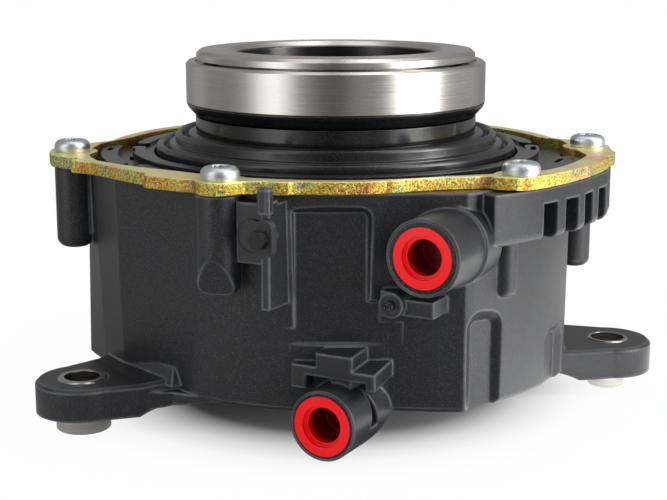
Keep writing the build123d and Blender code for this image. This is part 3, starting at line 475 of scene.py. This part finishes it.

# %% [markdown]
# Yellow zinc is a thin film over zinc, and its thickness decides the colour: gold mostly, green,
# pink and orange in patches. The flat faces are rolled and smooth; the pressed edge is coarse and
# pitted, and its glitter is painted on as pale spots. The mask between them is the normal's upward share.

# %% Yellow zinc
paint, tree, shader = start_finish("yellow_zinc", Metallic=1.0)
place = add_node(tree, "TexCoord").outputs["Object"]
film = add_node(tree, "TexNoise", {
    "Vector": place, "Scale": 52.0, "Detail": 5.0, "Roughness": 0.65, "Distortion": 0.8}).outputs[0]
film_colour = ramp(tree, film, [
    (0.32, (0.36, 0.12, 0.09)), (0.39, (0.55, 0.26, 0.05)), (0.46, (0.66, 0.45, 0.06)),
    (0.53, (0.64, 0.55, 0.09)), (0.59, (0.24, 0.40, 0.18)), (0.64, (0.72, 0.50, 0.16)),
    (0.71, (0.80, 0.42, 0.36))])
glitter = add_node(tree, "TexNoise", {
    "Vector": place, "Scale": 1300.0, "Detail": 3.0, "Roughness": 0.75}).outputs[0]
up = add_node(tree, "SeparateXYZ", {0: add_node(tree, "NewGeometry").outputs["Normal"]}).outputs[2]
flat_face = stretch(tree, up, 0.5, 0.9, 0.0, 1.0)
coarse = math_node(tree, "SUBTRACT", 1.0, flat_face)
dark_pits = math_node(tree, "MULTIPLY", stretch(tree, glitter, 0.4, 0.52, 0.9, 0.0), coarse)
# painted glints: pale spots on the coarse edge
painted_glints = math_node(tree, "MULTIPLY", stretch(tree, glitter, 0.56, 0.66, 0.0, 0.8), coarse)
pitted = mixed(tree, dark_pits, film_colour, (0.20, 0.10, 0.015))
coarse_film = mixed(tree, painted_glints, pitted, (1.0, 0.92, 0.58))
rolled_place = add_node(tree, "Mapping", {
    "Vector": place, "Rotation": (0, 0, 0.5), "Scale": (14, 60, 1)}).outputs[0]
rolled = add_node(tree, "TexNoise", {
    "Vector": rolled_place, "Scale": 1.0, "Detail": 4.0, "Distortion": 0.4}).outputs[0]
flat_film = ramp(tree, rolled, [
    (0.34, (0.95, 0.62, 0.42)), (0.44, (1.0, 0.82, 0.40)), (0.52, (0.98, 0.92, 0.45)),
    (0.58, (0.80, 0.88, 0.42)), (0.66, (1.0, 0.70, 0.55))])
plated = mixed(tree, flat_face, coarse_film, flat_film)
edge = use_group(tree, edge_group, Radius=0.0005)
# edge wear and painted highlight: a pale gold along edges
final = mixed(tree, stretch(tree, edge["Edge"], 0, 1, 0, 0.7), plated, (0.92, 0.85, 0.55))
roughness = stretch(tree, flat_face, 0, 1, 0.38, 0.42)
bump_height = math_node(tree, "MULTIPLY", glitter, stretch(tree, flat_face, 0, 1, 1.0, 0.12))
connect(tree, shader, final, roughness, bump_height, 0.0004, edge["Normal"])
finishes["yellow_zinc"] = paint
print("finishes:", sorted(finishes))

# %% [markdown]
# Each CAD node gets its finish by name. Nodes keep their shape and place.

# %% Dress the CAD nodes
dress = {
    "housing_skin": ["housing"],
    "yellow_zinc": ["retaining_plate"],
    "silver_zinc": ["plate_screws", "sleeve_screws"],
    "cover_black": ["cover_ring"],
    "collar_black": ["supply_port_collar", "exhaust_port_collar", "duct_plug"],
    "sensor_black": ["travel_sensor"],
    "black_oxide": ["sensor_screw"],
    "seal_rubber": ["cover_seal", "sleeve_seal", "piston_outer_seal", "piston_inner_seal", "sensor_gasket"],
    "boot_rubber": ["dust_boot", "bearing_shell"],
    "cage_plastic": ["bearing_cage"],
    "sliding_plastic": ["piston_wear_ring", "guide_bushes"],
    "plug_red_upper": ["supply_port_plug"],
    "plug_red_lower": ["exhaust_port_plug"],
    "bearing_steel": ["bearing_outer_ring", "bearing_inner_ring"],
    "carrier_black": ["bearing_carrier"],
    "bush_steel": ["mounting_sleeves"],
    "ground_steel": ["guide_sleeve", "spring_seat", "position_magnet"],
    "spring_steel": ["preload_spring", "carrier_clip"],
    "ball_steel": ["bearing_balls"],
    "piston_metal": ["ring_piston"],
}
for finish, names in dress.items():
    for name in names:
        for slot in nodes[name].material_slots:
            slot.material = finishes[finish]
left_plain = sorted(set(nodes) - {n for names in dress.values() for n in names})
print("dressed:", sum(map(len, dress.values())), "left plain:", left_plain)

# %% [markdown]
# The dust boot is soft rubber in stepped folds. Seen from the side it is one thin wall that
# goes up and down, so it is made as on a lathe: a ring of points is extruded again and again,
# each time scaled to the next radius and lifted to the next height, and then closed. Profiles are
# (radius, height) points in millimetres.

# %% Turned soft rings
boot_folds = [
    (57.0, 110.0), (57.0, 113.3), (62.4, 113.3), (63.4, 112.8), (64.6, 110.2), (65.6, 110.2),
    (66.4, 113.0), (67.4, 113.6), (68.4, 113.0), (69.0, 112.0), (69.0, 109.0), (71.6, 108.8),
    (72.6, 106.2), (73.4, 106.2), (74.2, 108.4), (75.4, 109.0), (76.6, 108.4), (77.2, 107.4),
    (77.2, 101.4), (78.3, 101.4), (78.3, 101.3), (80.4, 101.3), (80.4, 99.1), (75.8, 99.1),
    (75.8, 105.4), (75.2, 107.0), (74.4, 105.0), (71.4, 105.0), (70.6, 107.4), (67.6, 107.6),
    (67.6, 111.6), (67.0, 111.6), (66.6, 108.8), (63.6, 108.8), (62.4, 111.8), (59.0, 111.8),
    (59.0, 110.0)]
shell_profile = [
    (55.3, 120.0), (58.4, 120.0), (60.4, 120.9), (63.4, 124.2), (63.9, 125.6), (63.9, 126.0),
    (55.3, 126.0)]


def round_edges(piece, width, from_angle, smooth_to):
    """Rounds the active piece's edges that are sharper than from_angle and smooths its shading."""
    rounding = piece.modifiers.new("rounding", "BEVEL")
    rounding.width = width
    rounding.segments = 3
    rounding.limit_method = "ANGLE"
    rounding.angle_limit = radians(from_angle)
    bpy.ops.object.modifier_apply(modifier=rounding.name)
    bpy.ops.object.shade_smooth_by_angle(angle=radians(smooth_to))


def turn_ring(name, profile, around=144, round_off=0.0004, crease=28):
    """A closed ring turned from its profile."""
    bpy.ops.object.select_all(action="DESELECT")
    radius, height = profile[0]
    start_at = (0, 0, height / 1000)
    bpy.ops.mesh.primitive_circle_add(vertices=around, radius=radius / 1000, location=start_at)
    piece = bpy.context.object
    piece.name = name
    bpy.ops.object.transform_apply(location=True)
    bpy.ops.object.mode_set(mode="EDIT")
    for next_radius, next_height in profile[1:] + profile[:1]:
        lift = (0, 0, (next_height - height) / 1000)
        bpy.ops.mesh.extrude_region_move(TRANSFORM_OT_translate={"value": lift})
        share = next_radius / radius
        centre = (0, 0, next_height / 1000)
        bpy.ops.transform.resize(value=(share, share, 1), center_override=centre)
        radius, height = next_radius, next_height
    bpy.ops.mesh.select_all(action="SELECT")
    bpy.ops.mesh.remove_doubles(threshold=1e-6)
    bpy.ops.mesh.normals_make_consistent(inside=False)
    bpy.ops.object.mode_set(mode="OBJECT")
    round_edges(piece, round_off, crease, 40)
    print(name, len(piece.data.vertices), "points")
    return piece


shell = turn_ring("soft_shell", shell_profile, round_off=0.0005, crease=18)
shell.data.materials.append(finishes["boot_rubber"])
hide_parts("bearing_shell")
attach(shell, "piston")
boot = turn_ring("folded_boot", boot_folds)
boot.data.materials.append(finishes["boot_rubber"])
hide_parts("dust_boot")
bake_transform(boot)

# %% [markdown]
# The yellow plate is stamped: its outer edge steps out round each screw and at small tabs between
# them. The edge was followed on the photograph in front and is plain behind. A single point is
# extruded from corner to corner, and the loop is filled and drawn up to 5 mm. The opening is made
# in the same way, loses a round at each screw so that the plate keeps a pad there, and is then cut
# out with a boolean, as a press tool would cut it. Screw places are (radius, angle), the front edge
# is (x, y), and the back edge and the opening are (angle, reach beyond the bore), in millimetres
# and degrees.

# %% Retaining plate
plate_low, plate_high = 101.5, 106.5
bore_r, pad_r, pad_sides, pad_depth = 86.0, 10.5, 72, 12
arc_step = 2.5
screw_places = [
    (112.4, -141.8), (103.2, -86.6), (108.0, -21.5), (108.4, 25.5), (110.0, 88.0), (110.0, 148.0)]
front_edge = [
    (-78.4, -85.0), (-75.6, -84.2), (-73.4, -85.4), (-73.0, -90.6), (-71.6, -91.6),
    (-64.6, -91.7), (-62.4, -91.4), (-43.4, -98.6), (-27.9, -103.3), (-26.2, -104.6),
    (-25.6, -107.2), (-23.6, -108.4), (-8.0, -109.4), (-5.6, -109.0), (-3.4, -108.6),
    (-1.2, -109.6), (1.0, -111.6), (3.6, -113.0), (6.6, -113.4), (9.8, -112.4), (12.6, -110.4),
    (14.6, -107.4), (15.6, -104.6), (16.8, -102.9), (19.8, -101.4), (24.4, -99.2), (26.4, -99.4),
    (28.4, -98.9), (31.8, -97.2), (33.0, -95.4), (35.0, -94.0), (46.5, -89.0), (57.4, -82.6),
    (60.6, -79.4), (62.0, -76.9), (64.2, -75.4), (68.8, -69.2), (75.2, -62.4), (82.4, -56.0),
    (89.0, -50.4), (91.6, -49.6), (94.0, -50.4), (97.6, -50.6), (102.6, -48.6), (106.0, -45.4),
    (108.0, -41.2), (110.6, -33.6), (113.6, -21.6), (115.8, -5.8), (116.4, 10.4), (115.8, 20.0),
    (114.6, 22.4), (115.0, 30.4), (113.8, 35.4), (110.6, 41.0)]
back_edge = [
    (26, 32.0), (30, 30.4), (34, 25.0), (38, 16.5), (41, 13.8), (76, 13.8), (80, 22.0),
    (83, 31.0), (88, 33.5), (93, 31.0), (96, 22.0), (100, 13.8), (136, 13.8), (140, 22.0),
    (143, 31.0), (148, 33.5), (153, 31.0), (156, 22.0), (160, 13.8), (200, 13.8), (204, 19.0),
    (208, 27.0), (211, 33.0), (215, 35.6), (219, 36.0), (223, 35.4)]
opening_edge = [
    (-155, 16.5), (-146, 18.5), (-134, 20.5), (-126, 20.5), (-118, 16.2), (-112, 13.4),
    (-100, 9.4), (-36, 9.4), (-26, 14.0), (-20, 14.0), (-14, 22.0), (12, 22.0), (24, 15.0),
    (38, 15.0), (44, 8.8), (72, 8.8), (80, 15.0), (96, 15.0), (104, 8.8), (132, 8.8), (140, 15.0),
    (156, 15.0), (164, 8.8), (192, 8.8)]


def along_arcs(corners, close):
    """(angle, reach) corners as (x, y) points, with arcs where the reach stays the same."""
    points = []
    first_angle, first_reach = corners[0]
    last = (first_angle + 360, first_reach) if close else corners[-1]
    for (turn, reach), (next_turn, next_reach) in zip(corners, corners[1:] + [last]):
        steps = max(1, round((next_turn - turn) / arc_step)) if reach == next_reach else 1
        for i in range(steps):
            a = radians(turn + (next_turn - turn) * i / steps)
            points.append(((bore_r + reach) * cos(a), (bore_r + reach) * sin(a)))
    return points


def stamped(name, points, low, high):
    """A flat slab whose edge is drawn by extruding one point from corner to corner."""
    bpy.ops.object.select_all(action="DESELECT")
    start_point = Vector((points[0][0], points[0][1], low)) / 1000
    bpy.ops.mesh.primitive_plane_add(size=0.001, location=start_point)
    slab = bpy.context.object
    slab.name = name
    bpy.ops.object.transform_apply(location=True)
    bpy.ops.object.mode_set(mode="EDIT")
    bpy.ops.mesh.select_all(action="SELECT")
    bpy.ops.mesh.merge(type="CENTER")
    here = points[0]
    for there in points[1:]:
        move = ((there[0] - here[0]) / 1000, (there[1] - here[1]) / 1000, 0)
        bpy.ops.mesh.extrude_region_move(TRANSFORM_OT_translate={"value": move})
        here = there
    bpy.ops.mesh.select_all(action="SELECT")
    bpy.ops.mesh.edge_face_add()
    rise = (0, 0, (high - low) / 1000)
    bpy.ops.mesh.extrude_region_move(TRANSFORM_OT_translate={"value": rise})
    bpy.ops.mesh.select_all(action="SELECT")
    bpy.ops.mesh.normals_make_consistent(inside=False)
    bpy.ops.object.mode_set(mode="OBJECT")
    return slab


def cut_away(piece, tool):
    """Subtracts the tool from the piece and removes the tool."""
    step = piece.modifiers.new("cut", "BOOLEAN")
    step.operation, step.object, step.solver = "DIFFERENCE", tool, "EXACT"
    bpy.ops.object.select_all(action="DESELECT")
    bpy.context.view_layer.objects.active = piece
    bpy.ops.object.modifier_apply(modifier=step.name)
    bpy.data.objects.remove(tool)


edge_points = front_edge + along_arcs(back_edge, False)
stamping = stamped("stamped_plate", edge_points, plate_low, plate_high)
opening = stamped("opening", along_arcs(opening_edge, True), plate_low - 1, plate_high + 1)
for at_r, turn in screw_places:
    bpy.ops.object.select_all(action="DESELECT")
    x, y = at_r * cos(radians(turn)), at_r * sin(radians(turn))
    centre = Vector((x, y, (plate_low + plate_high) / 2)) / 1000
    bpy.ops.mesh.primitive_cylinder_add(
        vertices=pad_sides, radius=pad_r / 1000, depth=pad_depth / 1000, location=centre)
    cut_away(opening, bpy.context.object)
cut_away(stamping, opening)
round_edges(stamping, 0.0004, 50, 35)
stamping.data.materials.append(finishes["yellow_zinc"])
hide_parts("retaining_plate")
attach(stamping, "housing")
print("plate", len(stamping.data.vertices), "points", [round(v, 4) for v in stamping.dimensions])

# %% [markdown]
# The real screw heads are fuller than the plain ones of the CAD: upright flanks, a round shoulder
# and a flat crown. A turned skin over each head gives that form and leaves the socket open.

# %% Screw heads
head_profile = [
    (3.35, 111.0), (3.35, 111.55), (4.8, 111.5), (6.0, 111.1), (6.9, 110.3), (7.35, 109.3),
    (7.4, 108.3), (7.15, 107.3), (6.6, 106.7), (6.2, 106.55), (5.6, 106.55)]
for number, (at_r, turn) in enumerate(screw_places, 1):
    skin = turn_ring(f"screw_head_{number}", head_profile, around=72, round_off=0.0003, crease=12)
    x, y = at_r * cos(radians(turn)), at_r * sin(radians(turn))
    skin.location = (x / 1000, y / 1000, 0)
    bpy.ops.object.transform_apply(location=True)
    skin.data.materials.append(finishes["silver_zinc"])
    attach(skin, "housing")

# %% [markdown]
# Behind the travel sensor lies a thin soft disc. The standing bar of the rail cuts into it, so a
# flat cylinder is bisected along the bar's edge, and its rim is then rounded.

# %% Sensor gasket
gasket_centre = (0.0214, -0.10585, 0.087)
gasket_r, gasket_thick = 0.0062, 0.0016
bar_edge_x = 0.02545
bpy.ops.object.select_all(action="DESELECT")
bpy.ops.mesh.primitive_cylinder_add(
    vertices=96, radius=gasket_r, depth=gasket_thick, location=gasket_centre, rotation=(pi / 2, 0, 0))
disc = bpy.context.object
disc.name = "soft_gasket"
bpy.ops.object.transform_apply(location=True, rotation=True)
bpy.ops.object.mode_set(mode="EDIT")
bpy.ops.mesh.select_all(action="SELECT")
bpy.ops.mesh.bisect(
    plane_co=(bar_edge_x, 0, 0), plane_no=(1, 0, 0), use_fill=True, clear_outer=True)
bpy.ops.object.mode_set(mode="OBJECT")
round_edges(disc, 0.0003, 30, 40)
disc.data.materials.append(finishes["seal_rubber"])
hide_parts("sensor_gasket")
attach(disc, "housing")
print("gasket", len(disc.data.vertices), "points")

# %% [markdown]
# At the very end a closing line is printed.

# %% End
print("scene built")
